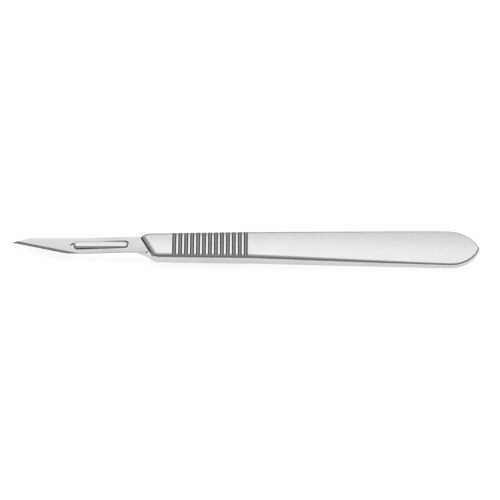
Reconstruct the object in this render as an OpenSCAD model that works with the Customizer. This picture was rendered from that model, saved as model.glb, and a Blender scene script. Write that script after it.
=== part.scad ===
// Surgical scalpel: a flat steel handle with a pointed blade clipped on its tang.
// It lies flat with the blade side up. Stations are distances along the handle from the
// shoulder line at the axis, positive towards the tail, and +Y is the side of the blade's spine.

/* [Handle] */
// Length of the handle, from the front of its tang to its tail
handle_l = 126; // [118:0.5:135]
// Width where the tail starts to round
tail_w = 13.4; // [12:0.1:14]
// Width at the shoulder line
shoulder_w = 9.5; // [9:0.05:10]
// Gain in width per millimetre just behind the shoulder
shoulder_flare = 0.02; // [0:0.005:0.04]
// Gain in width per millimetre just ahead of the rounded tail
tail_flare = 0.03; // [0:0.005:0.04]
// Thickness along the grip
grip_t = 4.2; // [3.9:0.05:4.6]
// Thickness at the very end of the tail
tail_t = 1.95; // [1.6:0.05:2.8]
// Distance from the shoulder line to the start of the taper in thickness
taper_start = 33.7; // [32.5:0.1:45]

/* [Tail] */
// Radius of the two long side arcs of the tail
tail_arc_r = 10; // [9:0.1:14]
// Radius of the tail's nose
nose_r = 1.6; // [1.2:0.1:3]

/* [Edges] */
// Rounding of the long edges along the grip
grip_edge_r = 1.4; // [0.8:0.05:1.5]
// Rounding of the long edges at the tail
tail_edge_r = 0.6; // [0.3:0.05:0.7]

/* [Grip grooves] */
// Number of grooves across each face
groove_count = 13; // [8:1:13]
// Distance from one groove to the next
groove_pitch = 1.825; // [1.6:0.005:1.9]
// Width of a groove at the face
groove_w = 1.26; // [1:0.02:1.4]
// Depth of a groove
groove_depth = 0.35; // [0.2:0.01:0.5]
// Distance from the shoulder line to the middle of the first groove
groove_start = 8.87; // [7.5:0.01:10]

/* [Shoulder and neck] */
// Angle of the shoulder line and of the blade's heel, off square
shoulder_angle = 27; // [22:1:32]
// Radius of the rounded step from the blade's seat up to the grip
shoulder_r = 1.9; // [1.6:0.05:2.4]
// Station where the far side starts to round into the neck
far_corner_at = 1.4; // [0.6:0.1:2.4]
// Radius of the far side's corner
far_corner_r = 3.6; // [3:0.1:4]
// Radius of the far side's hollow beside the tang
far_hollow_r = 1; // [0.6:0.1:1.6]
// Station where the near side starts to round into the neck
near_corner_at = 4.2; // [3.5:0.1:5]
// Radius of the near side's corner
near_corner_r = 3.5; // [2.5:0.1:4]
// Radius of the near side's hollow beside the tang
near_hollow_r = 9; // [7:0.1:10]
// Station where the underside starts to rise
under_start = 3.8; // [3:0.1:4.5]
// Length of the underside's rise
under_l = 7; // [6:0.1:8]

/* [Tang] */
// Length of the tang ahead of the shoulder line
tang_l = 23.38; // [22.5:0.02:24.5]
// Width of the tang
tang_w = 3.7; // [3.4:0.1:4.2]
// Distance of the tang, key and blade from the handle's axis
fitting_y = 0.4; // [0:0.05:0.6]
// Height of the tang's underside over the rest face
tang_z = 1.5; // [1:0.05:1.6]

/* [Key] */
// Length of the key
key_l = 16.8; // [15.5:0.1:17.5]
// Width of the key's head
key_w = 2.55; // [2.3:0.05:2.7]
// Height of the key's top over the rest face
key_z = 3.53; // [3.45:0.01:3.8]
// Rounding of the key's top edges
key_edge_r = 0.6; // [0.3:0.05:0.7]
// Distance from the front of the tang to the front of the key
key_inset = 1.28; // [1.1:0.01:1.6]
// Width of the key between its two side grooves
key_neck_w = 1.8; // [1.6:0.05:1.9]
// Length of the side grooves from the front of the key
key_groove_l = 8.4; // [7:0.1:9.5]

/* [Blade] */
// Length of the blade, from its tip to the rear corner of its heel
blade_l = 42.05; // [38:0.05:46]
// Width of the blade
blade_w = 5.94; // [5.6:0.02:6.4]
// Thickness of the blade
blade_t = 0.4; // [0.35:0.01:0.45]
// Height of the blade's underside at its front over the rest face
blade_z = 2.3; // [2.2:0.01:2.4]
// Rise of the blade over the key, from its front to its heel
bow_h = 0.72; // [0.5:0.01:0.8]
// Share of the bow that curves upwards
bow_share = 0.62; // [0.4:0.01:0.7]
// Distance of the tip from the spine's line
tip_drop = 1.76; // [1.4:0.02:2.4]
// Length of the slanted front of the spine
clip_l = 5.6; // [4:0.1:7]
// Angle between the cutting edge and the spine
edge_angle = 14; // [13:0.5:16]
// Rounding where the cutting edge meets the near edge
edge_corner_r = 10; // [4:0.5:14]
// Width of the ground bevel
bevel_w = 0.85; // [0.5:0.05:1.1]
// Thickness left at the cutting edge
edge_t = 0.03; // [0.02:0.01:0.06]
// Rounding of the heel's rear corner
heel_r = 0.5; // [0.3:0.1:1]

/* [Fit] */
// Gap between the blade's heel and the shoulder line
heel_gap = 0.16; // [0.08:0.01:0.3]
// Gap between the blade's underside and the tang
seat_gap = 0.03; // [0.02:0.01:0.06]
// Gap on each side between the blade's slot and the key
slot_gap = 0.18; // [0.1:0.01:0.2]
// Gap between the narrow slot and the key's neck
neck_gap = 0.1; // [0.05:0.01:0.15]
// Gap over the blade in the key's side grooves
groove_gap = 0.2; // [0.06:0.01:0.24]
// Gap between the front of the slot and the front of the key
front_gap = 0.95; // [0.7:0.05:1.2]
// Gap between the rear of the slot and the rear of the key
rear_gap = 0.35; // [0.2:0.05:0.5]

/* [Hidden] */
steel = [0.76, 0.77, 0.78];
bright_steel = [0.86, 0.87, 0.88];
round_fn = 64;
// Extra reach of a cutter past what it cuts
over = 2;
// Segments in the rounding of a long edge, a plan arc and a long curve
edge_steps = 5;
arc_steps = 6;
long_steps = 8;
// Slope left where the rounded shoulder meets the grip's face
shoulder_break = 10;
// Depth to which the key is rooted in the tang
root = 0.5;
// Length of the level part of the blade at its heel
heel_flat = 0.3;

// Tail
tail_at = handle_l - tang_l;
nose_at = tail_at - nose_r;
arc_centre_y = tail_arc_r - tail_w / 2;
tail_arc_at = nose_at - sqrt(pow(tail_arc_r - nose_r, 2) - pow(arc_centre_y, 2));
nose_angle = asin(arc_centre_y / (tail_arc_r - nose_r));

// Blade, key and slot
tang_tip_at = -tang_l;
key_front_at = tang_tip_at + key_inset;
key_rear_at = key_front_at + key_l;
slot_front_at = key_front_at - front_gap;
slot_rear_at = key_rear_at + rear_gap;
slot_w = key_w + 2 * slot_gap;
slot_neck_w = key_neck_w + 2 * neck_gap;
key_groove_at = key_front_at + key_groove_l;
spine_y = fitting_y + blade_w / 2;
near_y = fitting_y - blade_w / 2;
heel_near_at = -near_y * tan(shoulder_angle) - heel_gap / cos(shoulder_angle);
heel_far_at = -spine_y * tan(shoulder_angle) - heel_gap / cos(shoulder_angle);
slot_mouth_at = key_groove_at - slot_gap + sqrt(pow(slot_w / 2, 2) - pow(key_w / 2, 2));
tip_at = heel_near_at - blade_l;
tip_y = spine_y - tip_drop;
edge_end_at = tip_at + (tip_y - near_y) / tan(edge_angle);

// Bow of the blade: level in front, curving up from the front of the slot, then level at the heel
bow_end_at = heel_far_at - heel_flat;
bow_l = bow_end_at - slot_front_at;
bow_turn_at = slot_front_at + bow_share * bow_l;
bow_slope = 2 * bow_h / bow_l;
seat_z = blade_z + bow_h - seat_gap;

// Rounded shoulder: height of its axis, and its reach from there to the seat
shoulder_axis_z = grip_t - shoulder_r * cos(shoulder_break);
shoulder_run = sqrt(pow(shoulder_r, 2) - pow(seat_z - shoulder_axis_z, 2));

// Radius of the rods that cut the grip grooves
groove_r = (pow(groove_w / 2, 2) + pow(groove_depth, 2)) / (2 * groove_depth);

// Place of the origin: the middle of the whole length
middle_at = (tip_at + tail_at) / 2;

// Curves

function mix(a, b, t) = a + (b - a) * t;
function clip(t) = min(1, max(0, t));
function arc(centre, r, from, to, steps) =
    [for (i = [0:steps]) centre + r * [cos(mix(from, to, i / steps)), sin(mix(from, to, i / steps))]];
function tail_of(points) = [for (i = [1:len(points) - 1]) points[i]];
function reversed(points) = [for (i = [len(points) - 1:-1:0]) points[i]];
function mirrored(points) = [for (p = points) [p.x, -p.y]];
function unit(v) = v / norm(v);
function heading(v) = atan2(v.y, v.x);

// Arc that rounds the corner b between a and c
function rounded(a, b, c, r, steps) =
    let (
        u = unit(a - b),
        v = unit(c - b),
        half = acos(u * v) / 2,
        centre = b + unit(u + v) * r / sin(half),
        from = heading(b + u * r / tan(half) - centre),
        to = heading(b + v * r / tan(half) - centre),
        sweep = (to - from + 540) % 360 - 180
    )
    arc(centre, r, from, from + sweep, steps);

// Outline of a straight bar with round ends on the fitting's line, counterclockwise
function bar(from, to, width) = concat(
    arc([to - width / 2, fitting_y], width / 2, -90, 90, 2 * arc_steps),
    arc([from + width / 2, fitting_y], width / 2, 90, 270, 2 * arc_steps)
);

// Outward normal at one point of a counterclockwise outline
function outward(points, i) =
    let (
        count = len(points),
        along = points[(i + 1) % count] - points[(i + count - 1) % count]
    )
    [along.y, -along.x] / norm(along);

// Side faces between neighbouring rings of a skin, clockwise from outside
function side_faces(count, rings) = [
    for (ring = [0:rings - 2], i = [0:count - 1])
        let (j = (i + 1) % count, a = ring * count, b = a + count)
        each [[b + j, a + j, a + i], [b + i, b + j, a + i]]
];

// Half of the handle's width: a gentle cubic from the shoulder to the tail
function half_width(s) =
    let (t = clip(s / tail_arc_at))
    0.5 * (mix(shoulder_w, tail_w, t * t * (3 - 2 * t))
        + tail_arc_at * (shoulder_flare * t * pow(1 - t, 2) + tail_flare * t * t * (t - 1)));

// Share of the taper in thickness that is ahead of a station
function tapered(s) = clip((s - taper_start) / (tail_at - taper_start));
function thickness(s) = mix(grip_t, tail_t, tapered(s));
function edge_radius(s) = mix(grip_edge_r, tail_edge_r, tapered(s));

// Height of the blade's underside
function blade_bottom(s) =
    s < slot_front_at ? blade_z
    : s < bow_turn_at ? blade_z + bow_slope * pow(s - slot_front_at, 2) / (2 * (bow_turn_at - slot_front_at))
    : s < bow_end_at ? blade_z + bow_h - bow_slope * pow(bow_end_at - s, 2) / (2 * (bow_end_at - bow_turn_at))
    : blade_z + bow_h;
bow_stations = [for (i = [0:2 * long_steps]) mix(slot_front_at, bow_end_at, i / (2 * long_steps))];

// Height of the handle's underside, from the rest face up to the tang
function underside(s) = tang_z * (1 - cos(180 * clip((under_start - s) / under_l))) / 2;

// Outline of the handle

// One side of the neck, drawn with its outside at +Y: a corner and a hollow that meet smoothly,
// from the edge of the grip to the edge of the tang
function neck_side(at, corner_r, hollow_r, tang_edge) =
    let (
        corner = [at, half_width(at) - corner_r],
        rise = tang_edge + hollow_r - corner.y,
        hollow = [at - sqrt(pow(corner_r + hollow_r, 2) - rise * rise), tang_edge + hollow_r],
        meet = asin(rise / (corner_r + hollow_r))
    )
    concat(
        arc(corner, corner_r, 90, 180 - meet, arc_steps),
        tail_of(arc(hollow, hollow_r, -meet, -90, arc_steps))
    );

// One side of the handle behind the grip, from the tail's end to the start of the taper
tail_side = concat(
    arc([nose_at, 0], nose_r, 0, nose_angle, arc_steps),
    tail_of(arc([tail_arc_at, -arc_centre_y], tail_arc_r, nose_angle, 90, arc_steps)),
    [for (i = [1:long_steps]) let (s = mix(tail_arc_at, taper_start, i / long_steps)) [s, half_width(s)]]
);

// One whole side of the handle, drawn at +Y: tail, straight grip, neck, tang and half of its round tip
function whole_side(at, corner_r, hollow_r, tang_edge) = concat(
    tail_side,
    neck_side(at, corner_r, hollow_r, tang_edge),
    arc([tang_tip_at + tang_w / 2, tang_edge - tang_w / 2], tang_w / 2, 90, 180, arc_steps)
);
far_side = whole_side(far_corner_at, far_corner_r, far_hollow_r, tang_w / 2 + fitting_y);
near_side = mirrored(whole_side(near_corner_at, near_corner_r, near_hollow_r, tang_w / 2 - fitting_y));

// The whole outline, counterclockwise from the tail's end; both sides share their first and last points
half = len(far_side) - 1;
count = 2 * half;
outline = concat(far_side, [for (i = [half - 1:-1:1]) near_side[i]]);

// Rings of the blank's skin: the outline moved in and up along the rounded edges
turns = [for (i = [0:edge_steps]) 90 * i / edge_steps];
function ring_point(i, turn, top) =
    let (
        r = edge_radius(outline[i].x),
        p = outline[i] - r * (1 - sin(turn)) * outward(outline, i),
        lift = r * (1 - cos(turn))
    )
    [p.x, p.y, top ? thickness(p.x) - lift : lift];
skin_points = concat(
    [for (turn = turns, i = [0:count - 1]) ring_point(i, turn, false)],
    [for (turn = reversed(turns), i = [0:count - 1]) ring_point(i, turn, true)]
);
ring_count = 2 * len(turns);

// Triangles across one ring, from side to side, counterclockwise from above
cap_faces = concat(
    [[0, 1, count - 1]],
    [for (i = [1:half - 2]) each [[i, i + 1, count - i - 1], [i, count - i - 1, count - i]]],
    [[half - 1, half, half + 1]]
);
top_ring = (ring_count - 1) * count;
skin_faces = concat(
    side_faces(count, ring_count),
    cap_faces,
    [for (face = cap_faces) [for (i = reversed(face)) top_ring + i]]
);

// Shapes drawn side on

// A side view drawn in the plane of stations and heights, made into a solid across the handle
module across(width) {
    rotate([90, 0, 0])
        linear_extrude(width, center = true)
            children();
}

// Plan frame of the shoulder: its own X runs square to the shoulder line, towards the tail
module at_shoulder() {
    rotate([0, 0, shoulder_angle])
        children();
}

// Band that follows the blade, between two distances from its underside
module blade_band(low, high, from, to) {
    stations = concat([from], [for (s = bow_stations) if (s > from && s < to) s], [to]);
    across(4 * blade_w)
        polygon(concat(
            [for (s = stations) [s, blade_bottom(s) + low]],
            [for (s = reversed(stations)) [s, blade_bottom(s) + high]]
        ));
}

// Handle

// The forged blank: one outline with rounded long edges, thinner towards the tail
module blank() {
    polyhedron(points = skin_points, faces = skin_faces);
}

// What is milled off above the tang, ahead of the rounded shoulder
module above_seat() {
    intersection() {
        blade_band(-seat_gap, 2 * grip_t, tang_tip_at - over, tail_w / 2);
        at_shoulder()
            difference() {
                translate([shoulder_run - 2 * tang_l, -tail_w, 0])
                    cube([2 * tang_l, 2 * tail_w, 4 * grip_t]);
                translate([shoulder_run, 0, shoulder_axis_z])
                    rotate([90, 0, 0])
                        cylinder(h = 3 * tail_w, r = shoulder_r, center = true, $fn = round_fn);
            }
    }
}

// What is milled off under the neck and the tang
module below_tang() {
    front = tang_tip_at - over;
    rise = [for (i = [0:long_steps]) under_start - under_l * i / long_steps];
    across(2 * tail_w)
        polygon(concat(
            [for (s = rise) [s, underside(s)]],
            [[front, tang_z], [front, -over], [under_start, -over]]
        ));
}

// The key's body: a bar that rises from the tang, with rounded top edges
module key_bar() {
    base = bar(key_front_at, key_rear_at, key_w);
    key_count = len(base);
    rings = concat([[0, tang_z + root]], [for (turn = turns) [
        key_edge_r * (1 - cos(turn)),
        key_z - key_edge_r * (1 - sin(turn))
    ]]);
    points = [
        for (ring = rings, i = [0:key_count - 1])
            let (p = base[i] - ring[0] * outward(base, i)) [p.x, p.y, ring[1]]
    ];
    last = (len(rings) - 1) * key_count;
    polyhedron(points = points, faces = concat(
        side_faces(key_count, len(rings)),
        [[for (i = [0:key_count - 1]) i]],
        [[for (i = [key_count - 1:-1:0]) last + i]]
    ));
}

// The key, with a groove along each side and round its front that takes the blade's narrow slot
module key() {
    difference() {
        key_bar();
        difference() {
            blade_band(-root, blade_t + groove_gap, tang_tip_at - over, key_groove_at);
            linear_extrude(2 * grip_t)
                polygon(bar(key_front_at + (key_w - key_neck_w) / 2, key_rear_at, key_neck_w));
        }
    }
}

// Round-bottomed grooves across one face, cut by rods that lie over it
module grip_grooves(axis_z) {
    for (i = [0:groove_count - 1])
        translate([groove_start + i * groove_pitch, 0, axis_z])
            rotate([90, 0, 0])
                cylinder(h = tail_w + 2 * over, r = groove_r, center = true, $fn = round_fn);
}

module handle() {
    color(steel)
        translate([-middle_at, 0, 0])
            difference() {
                union() {
                    difference() {
                        blank();
                        above_seat();
                        below_tang();
                    }
                    key();
                }
                grip_grooves(grip_t - groove_depth + groove_r);
                grip_grooves(groove_depth - groove_r);
            }
}

// Blade

edge_corner = [edge_end_at, near_y];
heel_near = [heel_near_at, near_y];
heel_far = [heel_far_at, spine_y];
clip_end = [tip_at + clip_l, spine_y];
tip = [tip_at, tip_y];
blade_outline = concat(
    [tip],
    rounded(tip, edge_corner, heel_near, edge_corner_r, arc_steps),
    rounded(edge_corner, heel_near, heel_far, heel_r, arc_steps),
    [heel_far, clip_end]
);

// The stamped strip, bowed where it lies over the key
module blade_strip() {
    intersection() {
        linear_extrude(2 * grip_t)
            polygon(blade_outline);
        blade_band(0, blade_t, tip_at - over, heel_near_at + over);
    }
}

// The slot: narrow where it slides in the key's grooves, wide where it drops over the key
module slot() {
    linear_extrude(2 * grip_t) {
        polygon(bar(slot_front_at, slot_mouth_at, slot_neck_w));
        polygon(bar(slot_mouth_at - slot_w / 2, slot_rear_at, slot_w));
    }
}

// What is ground off one face along the cutting edge, side is 1 for the top face and -1 for the underside
module bevel(side) {
    drop = (blade_t - edge_t) / 2;
    slope = drop / bevel_w;
    translate([tip_at, tip_y, blade_z + blade_t / 2])
        rotate([0, 0, -edge_angle])
            translate([-over, 0, 0])
                rotate([90, 0, 90])
                    linear_extrude(2 * over + (tip_y - near_y) / sin(edge_angle) + bevel_w / sin(edge_angle))
                        polygon([
                            [-over, side * (edge_t / 2 - over * slope)],
                            [bevel_w + over, side * (blade_t / 2 + over * slope)],
                            [-over, side * (blade_t / 2 + over * slope)]
                        ]);
}

module blade() {
    color(bright_steel)
        translate([-middle_at, 0, 0])
            difference() {
                blade_strip();
                slot();
                bevel(1);
                bevel(-1);
            }
}

handle();
blade();
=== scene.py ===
from math import cos, pi, radians, sin

import bmesh
import bpy
from bpy.props import FloatProperty, FloatVectorProperty, PointerProperty
from mathutils import Matrix, Vector


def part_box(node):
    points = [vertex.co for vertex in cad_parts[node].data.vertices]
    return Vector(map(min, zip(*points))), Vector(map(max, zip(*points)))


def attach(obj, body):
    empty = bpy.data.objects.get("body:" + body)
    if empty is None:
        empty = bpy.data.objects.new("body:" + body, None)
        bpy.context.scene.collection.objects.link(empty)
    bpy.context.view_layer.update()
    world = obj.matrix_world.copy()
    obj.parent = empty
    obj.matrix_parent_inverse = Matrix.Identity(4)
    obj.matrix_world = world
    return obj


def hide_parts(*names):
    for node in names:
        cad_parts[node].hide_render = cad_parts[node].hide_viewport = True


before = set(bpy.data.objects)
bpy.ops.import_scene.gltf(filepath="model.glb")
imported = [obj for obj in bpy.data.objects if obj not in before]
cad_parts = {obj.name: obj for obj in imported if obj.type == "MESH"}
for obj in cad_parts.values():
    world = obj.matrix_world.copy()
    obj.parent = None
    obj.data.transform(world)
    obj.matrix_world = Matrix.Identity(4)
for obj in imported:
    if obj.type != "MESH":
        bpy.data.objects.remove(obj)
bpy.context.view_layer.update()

bl_info = {
    "name": "Scalpel",
    "version": (1, 0, 0),
    "blender": (4, 5, 0),
    "location": "View3D > Sidebar > Scalpel",
    "description": "A flat steel scalpel handle with a pointed clip-on blade on a pale studio floor",
    "category": "Object",
}

MM = 0.001
HANDLE_LOW, HANDLE_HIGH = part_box("handle")
BLADE_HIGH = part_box("blade")[1]

# Grip grooves along the handle, as in the part's source. The first one is placed from the tail.
GROOVE_COUNT = 13
GROOVE_PITCH = 1.825 * MM
GROOVE_WIDTH = 1.26 * MM
GROOVE_FIRST = HANDLE_HIGH.x - 94.38 * MM
GRIP_LENGTH = GROOVE_PITCH * (GROOVE_COUNT - 1) + GROOVE_WIDTH

# The slanted shoulder: where its line crosses the long axis, its slant, and the height of its foot. These
# also place the painted shade line at its foot.
SHOULDER_AT = HANDLE_HIGH.x - 102.62 * MM
SHOULDER_ANGLE = radians(27)
SHOULDER_FOOT = HANDLE_HIGH.z - 1.2 * MM
TANG_START = SHOULDER_AT - 3.0 * MM

# Places of the materials on the handle and on the blade.
SATIN, GROOVE, LAND, TANG = range(4)
FLAT, GROUND, CUT = range(3)

# Limits on a face's normal and depth that tell the finishes apart.
FACE_UPRIGHT = 0.9
GROUND_UPRIGHT = 0.985
CUT_UPRIGHT = 0.5
GROOVE_LEAN = 0.08
GROOVE_STRAIGHT = 0.2
GROOVE_LEAST_DEPTH = 0.005 * MM

# Most noise lies in the middle half of its range. A pit starts above that, and is soon at its darkest.
NOISE_LOW, NOISE_HIGH = 0.25, 0.75
PIT_START, PIT_FULL = 0.66, 0.78

# How much the satin's flecks darken and lighten it, how much its pits darken it, and how much
# smoother its rubbed edges are.
FLECK_DARKENING, FLECK_LIGHTENING = 0.09, 0.07
PIT_DARKENING = 0.11
RUBBED_SMOOTHING = 0.05

# A long side starts at the first of these amounts of facing sideways, and is complete at the second.
SIDE_START, SIDE_FULL = 0.75, 0.97

# Painted light in the grooves: a painted highlight that lifts a groove's floor, and painted shade on its
# walls where they face lengthwise by the last amount or more.
GROOVE_FLOOR_HIGHLIGHT, GROOVE_WALL_SHADE = 1.2, 0.5
GROOVE_WALL_FACING = 0.7

# Depth of the finest relief, and how far the roughness strays from its mean.
FLECK_RELIEF = 0.002 * MM
GRAIN_RELIEF = 0.001 * MM
ROUGHNESS_STRAY = 0.03

# Corners nearer than this are one corner.
MERGE_DISTANCE = 0.001 * MM

# The blade's edges stay crisp above this angle, and its grinding lines turn this far from its length.
BLADE_SHARP_ANGLE = radians(8)
GRINDING_TURN = radians(104)

# The camera sees nothing nearer than this.
NEAREST_SEEN = 10 * MM

# The floor lies this far under the handle, so that the two faces don't share a plane.
FLOOR_GAP = 0.02 * MM
FLOOR_WHITE = 0.9
FLOOR_GLOW = 0.66

# The softbox hangs behind the table. Its height is an angle from the front horizon.
SOFTBOX_RISE = radians(120)
SOFTBOX_SIZE = (1.5, 1.35)
SOFTBOX_DISTANCE = 3.0

# The glow on the walls round the softbox, and the paler wall in front, by angles from its middle.
GLOW_START = radians(8)
GLOW_END = radians(105)
GLOW_POWER = 2.0
FRONT_START = radians(88)
FRONT_END = radians(128)


# Settings


class ScalpelSteel(bpy.types.PropertyGroup):
    """Colours and finish of the two steels"""

    handle_colour: FloatVectorProperty(
        name="Handle steel", description="Reflected colour of the satin handle",
        subtype="COLOR", size=3, min=0.0, max=1.0, default=(0.70, 0.702, 0.704))
    blade_colour: FloatVectorProperty(
        name="Blade steel", description="Reflected colour of the blade's flat faces",
        subtype="COLOR", size=3, min=0.0, max=1.0, default=(0.585, 0.587, 0.59))
    ground_colour: FloatVectorProperty(
        name="Ground edge", description="Reflected colour of the ground cutting edge",
        subtype="COLOR", size=3, min=0.0, max=1.0, default=(0.25, 0.25, 0.255))
    cut_colour: FloatVectorProperty(
        name="Cut edge", description="Reflected colour of the blade's cut edges and slot walls",
        subtype="COLOR", size=3, min=0.0, max=1.0, default=(0.44, 0.44, 0.445))
    # Painted shade: the groove colour is darkened to stand in for the dark room that the grooves reflect.
    groove_shade_colour: FloatVectorProperty(
        name="Groove steel", description="Reflected colour inside the milled grip grooves",
        subtype="COLOR", size=3, min=0.0, max=1.0, default=(0.29, 0.29, 0.295))
    handle_roughness: FloatProperty(
        name="Handle roughness", description="Roughness of the satin handle",
        subtype="FACTOR", min=0.05, max=0.8, default=0.26)
    blade_roughness: FloatProperty(
        name="Blade roughness", description="Roughness of the blade's flat faces",
        subtype="FACTOR", min=0.05, max=0.8, default=0.24)
    # The lands' colour is brightened by this factor, partly for their rubbed polish and partly as a
    # painted highlight.
    land_polish_and_highlight: FloatProperty(
        name="Land polish", description="How much brighter the lands between the grooves are rubbed",
        subtype="FACTOR", min=1.0, max=1.4, default=1.12)
    tang_mottling: FloatProperty(
        name="Tang mottling", description="How much of the body's mottle the tang and key have",
        subtype="FACTOR", min=0.0, max=1.0, default=0.3)
    crown: FloatProperty(
        name="Crown", description="How far the middle of each face seems to stand over its edges",
        subtype="DISTANCE", unit="LENGTH", min=0.0, max=0.0005, default=0.0002)
    dish: FloatProperty(
        name="Dish", description="How far the blade's middle seems to lie under its edges",
        subtype="DISTANCE", unit="LENGTH", min=0.0, max=0.0002, default=0.00006)
    sharp_angle: FloatProperty(
        name="Sharp angle", description="Angle between handle faces above which an edge stays crisp",
        subtype="ANGLE", min=radians(10), max=radians(80), default=radians(32))


class ScalpelStage(bpy.types.PropertyGroup):
    """Camera, floor, lamp and room"""

    elevation: FloatProperty(
        name="Elevation", description="Height of the camera over the horizon",
        subtype="ANGLE", min=radians(20), max=radians(89), default=radians(52))
    lens: FloatProperty(
        name="Lens", description="Focal length of the camera in millimetres",
        subtype="DISTANCE_CAMERA", min=50.0, max=400.0, default=200.0)
    view_width: FloatProperty(
        name="View width", description="Width that the camera sees at the object",
        subtype="DISTANCE", unit="LENGTH", min=0.1, max=0.5, default=0.1534)
    aim: FloatVectorProperty(
        name="Aim", description="Point that the camera looks at",
        subtype="TRANSLATION", unit="LENGTH", size=3, default=(0.00123, -0.0008, 0.002))
    floor_size: FloatProperty(
        name="Floor size", description="Length of the floor's sides",
        subtype="DISTANCE", unit="LENGTH", min=0.5, max=10.0, default=4.0)
    softbox_radiance: FloatProperty(
        name="Softbox brightness", description="Brightness of the large softbox, where 1 is white",
        subtype="FACTOR", min=0.0, max=5.0, default=0.68)
    glow_brightness: FloatProperty(
        name="Glow brightness", description="Brightness that the softbox throws on the walls round it",
        subtype="FACTOR", min=0.0, max=2.0, default=0.6)
    front_brightness: FloatProperty(
        name="Front brightness", description="How much brighter the wall in front is than the far sides",
        subtype="FACTOR", min=0.0, max=2.0, default=0.42)
    room_brightness: FloatProperty(
        name="Room brightness", description="Least brightness of the room, where 1 is white",
        subtype="FACTOR", min=0.0, max=2.0, default=0.12)


# Shader nodes


def math_node(tree, operation, *values):
    """A math node whose inputs are numbers or sockets; returns its output."""
    node = tree.nodes.new("ShaderNodeMath")
    node.operation = operation
    for socket, value in zip(node.inputs, values):
        if isinstance(value, bpy.types.NodeSocket):
            tree.links.new(value, socket)
        else:
            socket.default_value = value
    return node.outputs[0]


def map_range(tree, value, from_low, from_high, to_low=0.0, to_high=1.0):
    """Maps one range of values to another and holds the result within it; returns the node."""
    node = tree.nodes.new("ShaderNodeMapRange")
    tree.links.new(value, node.inputs["Value"])
    node.inputs["From Min"].default_value = from_low
    node.inputs["From Max"].default_value = from_high
    node.inputs["To Min"].default_value = to_low
    node.inputs["To Max"].default_value = to_high
    return node


def spread(tree, noise, low, high):
    """Maps the middle half of a noise to low..high."""
    return map_range(tree, noise, NOISE_LOW, NOISE_HIGH, low, high).outputs["Result"]


def facing(tree, axis):
    """How far the surface faces along an axis, from 0 to 1."""
    geometry = tree.nodes.new("ShaderNodeNewGeometry")
    split = tree.nodes.new("ShaderNodeSeparateXYZ")
    tree.links.new(geometry.outputs["Normal"], split.inputs["Vector"])
    return math_node(tree, "ABSOLUTE", split.outputs[axis])


def placed(tree, axis):
    """A point's place on the piece along an axis."""
    place = tree.nodes.new("ShaderNodeTexCoord")
    split = tree.nodes.new("ShaderNodeSeparateXYZ")
    tree.links.new(place.outputs["Object"], split.inputs["Vector"])
    return split.outputs[axis]


# Shader node groups


def new_group(name, inputs, outputs):
    """An empty shader node group with named sockets, and its two end nodes."""
    group = bpy.data.node_groups.new(name, "ShaderNodeTree")
    for label, value in inputs.items():
        socket = group.interface.new_socket(name=label, in_out="INPUT", socket_type="NodeSocketFloat")
        socket.default_value = value
    for label in outputs:
        group.interface.new_socket(name=label, in_out="OUTPUT", socket_type="NodeSocketFloat")
    start = group.nodes.new("NodeGroupInput")
    end = group.nodes.new("NodeGroupOutput")
    return group, start, end


def place_group(tree, name, make, **values):
    """Puts a shared group, made on its first use, in a tree with its own values; returns the node."""
    node = tree.nodes.new("ShaderNodeGroup")
    node.node_tree = bpy.data.node_groups.get(name) or make()
    for label, value in values.items():
        node.inputs[label.replace("_", " ")].default_value = value
    return node


def mottle_group():
    """Fine satin mottle: small soft flecks, wider clouds under them, and a few dark pits."""
    group, start, end = new_group(
        "fine_mottle",
        {"Fleck Scale": 2600.0, "Cloud Scale": 320.0, "Pit Scale": 1500.0},
        ["Flecks", "Clouds", "Pits"],
    )
    place = group.nodes.new("ShaderNodeTexCoord")
    noises = {}
    for label, detail in (("Fleck", 2.0), ("Cloud", 3.0), ("Pit", 0.0)):
        noise = group.nodes.new("ShaderNodeTexNoise")
        noise.inputs["Detail"].default_value = detail
        noise.inputs["Roughness"].default_value = 0.55
        group.links.new(place.outputs["Object"], noise.inputs["Vector"])
        group.links.new(start.outputs[label + " Scale"], noise.inputs["Scale"])
        noises[label] = noise.outputs["Fac"]
    group.links.new(noises["Fleck"], end.inputs["Flecks"])
    group.links.new(noises["Cloud"], end.inputs["Clouds"])
    highest = map_range(group, noises["Pit"], PIT_START, PIT_FULL)
    group.links.new(highest.outputs["Result"], end.inputs["Pits"])
    return group


def grain_group():
    """Brushed grain drawn out along one direction, which Turn sets in radians from the long axis."""
    group, start, end = new_group(
        "brushed_grain",
        {"Turn": 0.0, "Scale": 1800.0, "Stretch": 0.03},
        ["Grain"],
    )
    place = group.nodes.new("ShaderNodeTexCoord")
    turn = group.nodes.new("ShaderNodeVectorRotate")
    turn.rotation_type = "Z_AXIS"
    group.links.new(place.outputs["Object"], turn.inputs["Vector"])
    group.links.new(start.outputs["Turn"], turn.inputs["Angle"])
    scales = group.nodes.new("ShaderNodeCombineXYZ")
    group.links.new(start.outputs["Stretch"], scales.inputs["X"])
    scales.inputs["Y"].default_value = 1.0
    scales.inputs["Z"].default_value = 1.0
    squeeze = group.nodes.new("ShaderNodeVectorMath")
    squeeze.operation = "MULTIPLY"
    group.links.new(turn.outputs["Vector"], squeeze.inputs[0])
    group.links.new(scales.outputs["Vector"], squeeze.inputs[1])
    noise = group.nodes.new("ShaderNodeTexNoise")
    noise.inputs["Detail"].default_value = 2.0
    group.links.new(squeeze.outputs["Vector"], noise.inputs["Vector"])
    group.links.new(start.outputs["Scale"], noise.inputs["Scale"])
    group.links.new(noise.outputs["Fac"], end.inputs["Grain"])
    return group


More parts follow.
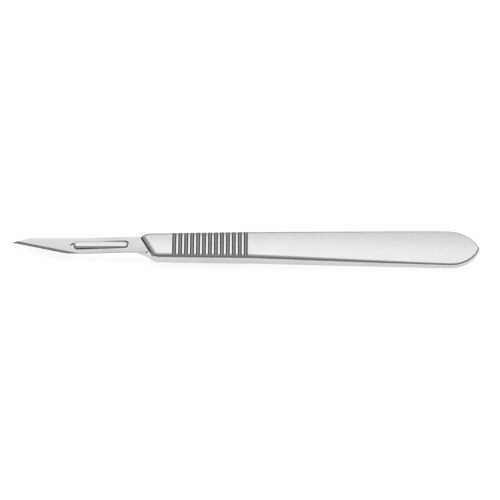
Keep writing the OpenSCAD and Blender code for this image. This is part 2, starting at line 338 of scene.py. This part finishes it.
def rubbed_group():
    """Mask of the rounded edges, which handling keeps smoother than the flat faces."""
    group, start, end = new_group("rubbed_edges", {"Width": 0.3}, ["Mask"])
    flattest = math_node(group, "MAXIMUM", facing(group, "X"), facing(group, "Y"))
    flattest = math_node(group, "MAXIMUM", flattest, facing(group, "Z"))
    slant = math_node(group, "SUBTRACT", 1.0, flattest)
    limit = group.nodes.new("ShaderNodeClamp")
    mask = math_node(group, "DIVIDE", slant, start.outputs["Width"])
    group.links.new(mask, limit.inputs["Value"])
    group.links.new(limit.outputs["Result"], end.inputs["Mask"])
    return group


def sides_group():
    """Tone of the ground long sides, which are a little duller than the faces and lined lengthwise."""
    group, start, end = new_group("ground_sides", {"Scale": 3600.0, "Stretch": 0.02}, ["Tone"])
    side = map_range(group, facing(group, "Y"), SIDE_START, SIDE_FULL)
    grain = place_group(group, "brushed_grain", grain_group)
    group.links.new(start.outputs["Scale"], grain.inputs["Scale"])
    group.links.new(start.outputs["Stretch"], grain.inputs["Stretch"])
    lines = spread(group, grain.outputs["Grain"], low=-0.2, high=0.04)
    worked = math_node(group, "MULTIPLY", side.outputs["Result"], lines)
    group.links.new(math_node(group, "ADD", worked, 1.0), end.inputs["Tone"])
    return group


def shoulder_shade_group():
    """Painted shade: a tone that falls to a dark line at the shoulder's foot, where the blade's heel lies
    against it, standing in for the shade in that crevice and over the shoulder's rounded ramp.
    """
    group, start, end = new_group("shoulder_painted_shade", {"Width": 0.5 * MM, "Darkest": 0.35}, ["Tone"])
    place = group.nodes.new("ShaderNodeTexCoord")
    across = group.nodes.new("ShaderNodeVectorMath")
    across.operation = "DOT_PRODUCT"
    across.inputs[1].default_value = (cos(SHOULDER_ANGLE), sin(SHOULDER_ANGLE), 0.0)
    group.links.new(place.outputs["Object"], across.inputs[0])
    past = math_node(group, "SUBTRACT", across.outputs["Value"], SHOULDER_AT * cos(SHOULDER_ANGLE))
    fall = map_range(group, past, 0.0, 1.0)
    fall.interpolation_type = "SMOOTHSTEP"
    group.links.new(start.outputs["Width"], fall.inputs["From Max"])
    group.links.new(start.outputs["Darkest"], fall.inputs["To Min"])
    below = math_node(group, "LESS_THAN", placed(group, "Z"), SHOULDER_FOOT)
    one_width_before = math_node(group, "MULTIPLY", start.outputs["Width"], -1.0)
    before = math_node(group, "LESS_THAN", past, one_width_before)
    plain = math_node(group, "MAXIMUM", below, before)
    tone = math_node(group, "MAXIMUM", fall.outputs["Result"], plain)
    group.links.new(tone, end.inputs["Tone"])
    return group


def bowed_group():
    """Height of a face that swells from its long edges to its middle, or sinks if Rise is negative."""
    group, start, end = new_group("bowed_face", {"Rise": 0.2 * MM, "Half Width": 6.7 * MM}, ["Height"])
    share = math_node(group, "DIVIDE", placed(group, "Y"), start.outputs["Half Width"])
    fall = math_node(group, "MULTIPLY", math_node(group, "MULTIPLY", share, share), start.outputs["Rise"])
    group.links.new(math_node(group, "MULTIPLY", fall, -1.0), end.inputs["Height"])
    return group


# Materials


def new_steel(name):
    """A metal with a Principled shader; returns the material, its tree and the shader."""
    material = bpy.data.materials.new(name)
    material.use_nodes = True
    tree = material.node_tree
    shader = tree.nodes["Principled BSDF"]
    shader.inputs["Metallic"].default_value = 1.0
    return material, tree, shader


def tint(tree, shader, colour, *factors):
    """Gives the shader a colour multiplied by factors that change over the surface."""
    product = factors[0]
    for factor in factors[1:]:
        product = math_node(tree, "MULTIPLY", product, factor)
    scaled = tree.nodes.new("ShaderNodeVectorMath")
    scaled.operation = "SCALE"
    scaled.inputs[0].default_value = colour
    tree.links.new(product, scaled.inputs["Scale"])
    tree.links.new(scaled.outputs["Vector"], shader.inputs["Base Color"])


def relieve(tree, shader, height, texture, depth):
    """Bumps the surface by a face's own height, and by a texture of the given depth."""
    bump = tree.nodes.new("ShaderNodeBump")
    bump.inputs["Strength"].default_value = 1.0
    bump.inputs["Distance"].default_value = 1.0
    fine = math_node(tree, "MULTIPLY", texture, depth)
    tree.links.new(math_node(tree, "ADD", height, fine), bump.inputs["Height"])
    tree.links.new(bump.outputs["Normal"], shader.inputs["Normal"])


def roughened(tree, noise, mean):
    """Roughness that strays about its mean with a noise."""
    return spread(tree, noise, mean - ROUGHNESS_STRAY, mean + ROUGHNESS_STRAY)


def satin_steel(steel, name, polish_and_highlight, mottling):
    """The handle: satin steel with fine flecks, a faint crown, and painted shade in a dark line at the
    shoulder's foot.
    """
    material, tree, shader = new_steel(name)
    mottle = place_group(
        tree, "fine_mottle", mottle_group, Fleck_Scale=2400.0, Cloud_Scale=260.0, Pit_Scale=1900.0)
    darkest_fleck = 1.0 - FLECK_DARKENING * mottling
    palest_fleck = 1.0 + FLECK_LIGHTENING * mottling
    flecks = spread(tree, mottle.outputs["Flecks"], darkest_fleck, palest_fleck)
    pitted = math_node(tree, "MULTIPLY_ADD", mottle.outputs["Pits"], -PIT_DARKENING * mottling, flecks)
    clouds = spread(tree, mottle.outputs["Clouds"], low=0.98, high=1.02)
    sides = place_group(tree, "ground_sides", sides_group, Scale=3600.0, Stretch=0.02)
    # Painted shade: a dark line at the shoulder's foot that fades up its ramp.
    painted_shade = place_group(tree, "shoulder_painted_shade", shoulder_shade_group, Width=0.5 * MM, Darkest=0.35)
    # The colour is brightened here for the lands, partly for their rubbed polish and partly as a painted
    # highlight.
    colour = [polish_and_highlight * level for level in steel.handle_colour]
    tint(tree, shader, colour, pitted, clouds, sides.outputs["Tone"], painted_shade.outputs["Tone"])

    rubbed = place_group(tree, "rubbed_edges", rubbed_group, Width=0.25)
    satin = roughened(tree, mottle.outputs["Flecks"], steel.handle_roughness)
    smoothed = math_node(tree, "MULTIPLY_ADD", rubbed.outputs["Mask"], -RUBBED_SMOOTHING, satin)
    tree.links.new(smoothed, shader.inputs["Roughness"])

    bow = place_group(tree, "bowed_face", bowed_group, Rise=steel.crown, Half_Width=HANDLE_HIGH.y)
    relieve(tree, shader, bow.outputs["Height"], mottle.outputs["Flecks"], FLECK_RELIEF)
    return material


def shaded_groove_steel(steel):
    """The grip grooves: milled steel with lines along each groove, darkened as painted shade, with a
    painted highlight on each floor and the darkest painted shade on the two walls.
    """
    material, tree, shader = new_steel("shaded_groove_steel")
    grain = place_group(tree, "brushed_grain", grain_group, Turn=pi / 2, Scale=6000.0, Stretch=0.05)
    mottle = place_group(tree, "fine_mottle", mottle_group, Fleck_Scale=1900.0, Cloud_Scale=320.0)
    lines = spread(tree, grain.outputs["Grain"], low=0.92, high=1.08)
    flecks = spread(tree, mottle.outputs["Flecks"], low=0.9, high=1.1)
    # Painted light and shade: each groove's floor is lifted and its walls are darkened by how they face.
    walls = map_range(
        tree, facing(tree, "X"), 0.0, GROOVE_WALL_FACING, GROOVE_FLOOR_HIGHLIGHT, GROOVE_WALL_SHADE)
    tint(tree, shader, steel.groove_shade_colour, lines, flecks, walls.outputs["Result"])
    rough = spread(tree, grain.outputs["Grain"], low=0.28, high=0.38)
    tree.links.new(rough, shader.inputs["Roughness"])
    return material


def sheet_steel(steel):
    """The blade's faces: smooth sheet steel with faint lengthwise grain and a slight dish."""
    material, tree, shader = new_steel("sheet_steel")
    mottle = place_group(tree, "fine_mottle", mottle_group, Fleck_Scale=3200.0, Cloud_Scale=400.0)
    grain = place_group(tree, "brushed_grain", grain_group, Scale=2200.0, Stretch=0.04)
    lines = spread(tree, grain.outputs["Grain"], low=0.98, high=1.02)
    flecks = spread(tree, mottle.outputs["Flecks"], low=0.97, high=1.02)
    tint(tree, shader, steel.blade_colour, lines, flecks)
    rough = roughened(tree, grain.outputs["Grain"], steel.blade_roughness)
    tree.links.new(rough, shader.inputs["Roughness"])
    bow = place_group(tree, "bowed_face", bowed_group, Rise=-steel.dish, Half_Width=BLADE_HIGH.y)
    relieve(tree, shader, bow.outputs["Height"], grain.outputs["Grain"], GRAIN_RELIEF)
    return material


def ground_steel(name, colour, turn):
    """Ground or cut steel with fine lines, which turn sets in radians from the long axis."""
    material, tree, shader = new_steel(name)
    grain = place_group(tree, "brushed_grain", grain_group, Turn=turn, Scale=5200.0, Stretch=0.05)
    tint(tree, shader, colour, spread(tree, grain.outputs["Grain"], low=0.88, high=1.12))
    rough = spread(tree, grain.outputs["Grain"], low=0.3, high=0.42)
    tree.links.new(rough, shader.inputs["Roughness"])
    return material


# Pieces


def smooth_copy(node, name, sharp_angle):
    """A merged copy of a CAD node's mesh, smooth but for its crisp edges."""
    mesh = bmesh.new()
    mesh.from_mesh(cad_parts[node].data)
    bmesh.ops.remove_doubles(mesh, verts=mesh.verts, dist=MERGE_DISTANCE)
    for face in mesh.faces:
        face.smooth = True
    for edge in mesh.edges:
        edge.smooth = len(edge.link_faces) == 2 and edge.calc_face_angle(0.0) < sharp_angle
    data = bpy.data.meshes.new(name)
    mesh.to_mesh(data)
    mesh.free()
    return data


def dress(data, materials, finish):
    """Gives a mesh its materials, and each face the one that the finish function names."""
    for material in materials:
        data.materials.append(material)
    for polygon in data.polygons:
        polygon.material_index = finish(polygon)


def add_piece(data, replaced):
    """Makes a finished mesh a piece that stands for a CAD node, with its large faces kept flat."""
    piece = bpy.data.objects.new(data.name, data)
    bpy.context.scene.collection.objects.link(piece)
    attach(piece, "root")
    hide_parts(replaced)
    weighted = piece.modifiers.new("face_weighted_normals", "WEIGHTED_NORMAL")
    weighted.mode = "FACE_AREA"
    weighted.weight = 100
    weighted.keep_sharp = True


def handle_finish(polygon):
    """Tells whether a face of the handle is satin, a milled groove, a land between two, or the tang."""
    centre, normal = polygon.center, polygon.normal
    if centre.x < TANG_START:
        return TANG
    along = centre.x - GROOVE_FIRST
    if not 0.0 < along < GRIP_LENGTH:
        return SATIN
    if along % GROOVE_PITCH > GROOVE_WIDTH:
        return LAND if abs(normal.z) > FACE_UPRIGHT else SATIN
    depth = min(HANDLE_HIGH.z - centre.z, centre.z - HANDLE_LOW.z)
    cut_across = abs(normal.x) > GROOVE_LEAN or abs(normal.y) < GROOVE_STRAIGHT
    return GROOVE if depth > GROOVE_LEAST_DEPTH and cut_across else SATIN


def blade_finish(polygon):
    """Tells whether a face of the blade is flat, the ground cutting edge, or a cut edge or slot wall."""
    upright = abs(polygon.normal.z)
    if upright < CUT_UPRIGHT:
        return CUT
    return GROUND if FACE_UPRIGHT < upright < GROUND_UPRIGHT else FLAT


class SCALPEL_OT_handle(bpy.types.Operator):
    """Makes the satin handle with its milled grip, tang and key"""

    bl_idname = "scalpel.handle"
    bl_label = "Handle"

    def execute(self, context):
        steel = context.scene.scalpel_steel
        data = smooth_copy("handle", "handle_body", steel.sharp_angle)
        materials = (
            satin_steel(steel, "satin_steel", 1.0, 1.0),
            shaded_groove_steel(steel),
            satin_steel(steel, "land_steel_with_highlight", steel.land_polish_and_highlight, 1.0),
            satin_steel(steel, "tang_steel", 1.0, steel.tang_mottling),
        )
        dress(data, materials, handle_finish)
        add_piece(data, "handle")
        return {"FINISHED"}


class SCALPEL_OT_blade(bpy.types.Operator):
    """Makes the pointed blade with its ground edge and slot"""

    bl_idname = "scalpel.blade"
    bl_label = "Blade"

    def execute(self, context):
        steel = context.scene.scalpel_steel
        data = smooth_copy("blade", "blade_plate", BLADE_SHARP_ANGLE)
        materials = (
            sheet_steel(steel),
            ground_steel("ground_steel", steel.ground_colour, GRINDING_TURN),
            ground_steel("cut_edge_steel", steel.cut_colour, 0.0),
        )
        dress(data, materials, blade_finish)
        add_piece(data, "blade")
        return {"FINISHED"}


# Stage


def sky_point(elevation):
    """Direction at a height over the front horizon, square to the object's length."""
    return Vector((0.0, -cos(elevation), sin(elevation)))


def facing_back(toward, distance):
    """Place and turn of something that stands off in a direction and looks back along it."""
    turn = toward.to_track_quat("Z", "Y").to_matrix().to_4x4()
    return Matrix.Translation(toward * distance) @ turn


def add_softbox(name, radiance):
    """The large rectangular lamp behind the table. Its power gives the wanted brightness, 1 for white."""
    lamp = bpy.data.lights.new(name, "AREA")
    lamp.shape = "RECTANGLE"
    lamp.size, lamp.size_y = SOFTBOX_SIZE
    lamp.energy = radiance * pi * lamp.size * lamp.size_y
    holder = bpy.data.objects.new(name, lamp)
    bpy.context.scene.collection.objects.link(holder)
    holder.matrix_world = facing_back(sky_point(SOFTBOX_RISE), SOFTBOX_DISTANCE)


def room_world(stage):
    """A grey room, white to the camera, palest round the softbox and a little paler again in front."""
    world = bpy.data.worlds.new("room")
    world.use_nodes = True
    tree = world.node_tree
    direction = tree.nodes.new("ShaderNodeTexCoord")
    toward = tree.nodes.new("ShaderNodeVectorMath")
    toward.operation = "DOT_PRODUCT"
    toward.inputs[1].default_value = sky_point(SOFTBOX_RISE)
    tree.links.new(direction.outputs["Generated"], toward.inputs[0])
    near = map_range(tree, toward.outputs["Value"], cos(GLOW_END), cos(GLOW_START))
    glow = math_node(tree, "POWER", near.outputs["Result"], GLOW_POWER)
    front = map_range(tree, toward.outputs["Value"], cos(FRONT_START), cos(FRONT_END))
    walls = math_node(
        tree, "MULTIPLY_ADD", front.outputs["Result"], stage.front_brightness, stage.room_brightness)
    walls = math_node(tree, "MULTIPLY_ADD", glow, stage.glow_brightness, walls)
    path = tree.nodes.new("ShaderNodeLightPath")
    room = tree.nodes["Background"]
    room.inputs["Color"].default_value = (1.0, 1.0, 1.0, 1.0)
    strength = math_node(tree, "MAXIMUM", walls, path.outputs["Is Camera Ray"])
    tree.links.new(strength, room.inputs["Strength"])
    return world


def floor_material():
    """Pale floor: white to the camera and in reflections, with the object's shadow, clear from below."""
    material = bpy.data.materials.new("pale_floor")
    material.use_nodes = True
    tree = material.node_tree
    shader = tree.nodes["Principled BSDF"]
    shader.inputs["Base Color"].default_value = (FLOOR_WHITE, FLOOR_WHITE, FLOOR_WHITE, 1.0)
    shader.inputs["Roughness"].default_value = 0.9
    shader.inputs["Specular IOR Level"].default_value = 0.0
    shader.inputs["Emission Color"].default_value = (1.0, 1.0, 1.0, 1.0)
    path = tree.nodes.new("ShaderNodeLightPath")
    seen = math_node(tree, "MAXIMUM", path.outputs["Is Camera Ray"], path.outputs["Is Glossy Ray"])
    tree.links.new(math_node(tree, "MULTIPLY", seen, FLOOR_GLOW), shader.inputs["Emission Strength"])
    clear = tree.nodes.new("ShaderNodeBsdfTransparent")
    side = tree.nodes.new("ShaderNodeNewGeometry")
    choose = tree.nodes.new("ShaderNodeMixShader")
    tree.links.new(side.outputs["Backfacing"], choose.inputs["Fac"])
    tree.links.new(shader.outputs["BSDF"], choose.inputs[1])
    tree.links.new(clear.outputs["BSDF"], choose.inputs[2])
    tree.links.new(choose.outputs["Shader"], tree.nodes["Material Output"].inputs["Surface"])
    return material


def add_floor(size):
    """A square sheet just under the handle."""
    sheet = bmesh.new()
    bmesh.ops.create_grid(sheet, x_segments=1, y_segments=1, size=size / 2)
    bmesh.ops.translate(sheet, verts=sheet.verts, vec=(0.0, 0.0, HANDLE_LOW.z - FLOOR_GAP))
    data = bpy.data.meshes.new("floor")
    sheet.to_mesh(data)
    sheet.free()
    data.materials.append(floor_material())
    floor = bpy.data.objects.new("floor", data)
    bpy.context.scene.collection.objects.link(floor)


def add_camera(stage):
    """A long lens at the photograph's angle; returns the camera."""
    data = bpy.data.cameras.new("camera")
    data.lens = stage.lens
    data.clip_start = NEAREST_SEEN
    distance = stage.view_width * stage.lens / data.sensor_width
    camera = bpy.data.objects.new("camera", data)
    bpy.context.scene.collection.objects.link(camera)
    stand = facing_back(sky_point(stage.elevation), distance)
    camera.matrix_world = Matrix.Translation(Vector(stage.aim)) @ stand
    return camera


class SCALPEL_OT_stage(bpy.types.Operator):
    """Makes the floor, the lamp, the room and the camera"""

    bl_idname = "scalpel.stage"
    bl_label = "Stage"

    def execute(self, context):
        scene = context.scene
        stage = scene.scalpel_stage
        add_floor(stage.floor_size)
        add_softbox("back_softbox", stage.softbox_radiance)
        scene.world = room_world(stage)
        scene.camera = add_camera(stage)
        scene.view_settings.view_transform = "Standard"
        return {"FINISHED"}


class SCALPEL_PT_panel(bpy.types.Panel):
    """Lists the pieces and their settings"""

    bl_idname = "SCALPEL_PT_panel"
    bl_label = "Scalpel"
    bl_space_type = "VIEW_3D"
    bl_region_type = "UI"
    bl_category = "Scalpel"

    def draw(self, context):
        layout = self.layout
        for operator in (SCALPEL_OT_handle, SCALPEL_OT_blade, SCALPEL_OT_stage):
            layout.operator(operator.bl_idname)
        for group in (context.scene.scalpel_steel, context.scene.scalpel_stage):
            box = layout.box()
            for name in group.__annotations__:
                box.prop(group, name)


CLASSES = (
    ScalpelSteel,
    ScalpelStage,
    SCALPEL_OT_handle,
    SCALPEL_OT_blade,
    SCALPEL_OT_stage,
    SCALPEL_PT_panel,
)


def register():
    for cls in CLASSES:
        bpy.utils.register_class(cls)
    bpy.types.Scene.scalpel_steel = PointerProperty(type=ScalpelSteel)
    bpy.types.Scene.scalpel_stage = PointerProperty(type=ScalpelStage)


def unregister():
    del bpy.types.Scene.scalpel_stage
    del bpy.types.Scene.scalpel_steel
    for cls in reversed(CLASSES):
        bpy.utils.unregister_class(cls)


def main():
    register()
    bpy.ops.scalpel.handle()
    bpy.ops.scalpel.blade()
    bpy.ops.scalpel.stage()


if __name__ == "__main__":
    main()
